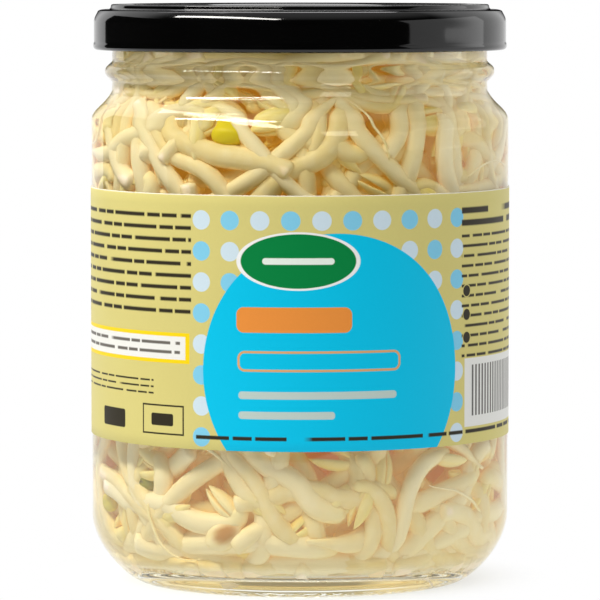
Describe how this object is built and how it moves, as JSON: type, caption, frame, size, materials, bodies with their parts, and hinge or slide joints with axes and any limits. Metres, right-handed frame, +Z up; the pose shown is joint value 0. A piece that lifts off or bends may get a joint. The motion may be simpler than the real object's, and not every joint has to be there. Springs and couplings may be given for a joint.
{
  "type": "jar of bean sprouts",
  "caption": "Round glass conserve jar with a black twist-off lid, wrap-around paper label and pale bean sprouts in brine.",
  "frame": {"origin": "middle of the jar's foot, in the plane that it stands on", "axes": "+Z up the jar's axis, -Y out of the middle of the label's front"},
  "size_m": [0.0808, 0.0808, 0.1103],
  "materials": {
    "flint_glass": "clear pressed and blown flint glass",
    "lacquered_tinplate": "gloss black lacquer",
    "sealing_compound": "matt plastisol",
    "coated_paper": "satin coated paper, printed",
    "brine": "clear pale yellow liquid",
    "sprout": "moist, translucent, smooth",
    "bean": "moist, smooth skin"
  },
  "bodies": {
    "jar": {"glass_jar": "flint_glass", "label": "coated_paper", "brine": "brine", "green_bean_low": "bean", "green_bean_side": "bean", "green_bean_top": "bean", "sprouts_01": "sprout", "sprouts_03": "sprout", "sprouts_04": "sprout", "sprouts_05": "sprout", "sprouts_06": "sprout", "sprouts_08": "sprout", "sprouts_09": "sprout", "sprouts_14": "sprout", "sprouts_15": "sprout", "sprouts_19": "sprout", "sprouts_22": "sprout", "sprouts_23": "sprout", "sprouts_25": "sprout", "sprouts_27": "sprout", "sprouts_30": "sprout", "sprouts_32": "sprout", "sprouts_38": "sprout", "sprouts_39": "sprout", "sprouts_41": "sprout", "sprouts_42": "sprout", "sprouts_43": "sprout", "sprouts_47": "sprout", "sprouts_48": "sprout", "sprouts_52": "sprout", "sprouts_56": "sprout"},
    "cap": {"lid": "lacquered_tinplate", "seal_ring": "sealing_compound"}
  },
  "joints": [
    {"name": "lid_turn", "type": "hinge", "parent": "jar", "child": "cap", "pos_m": [0, 0, 0.105], "axis": [0, 0, 1], "range_deg": [0, 60]}
  ]
}
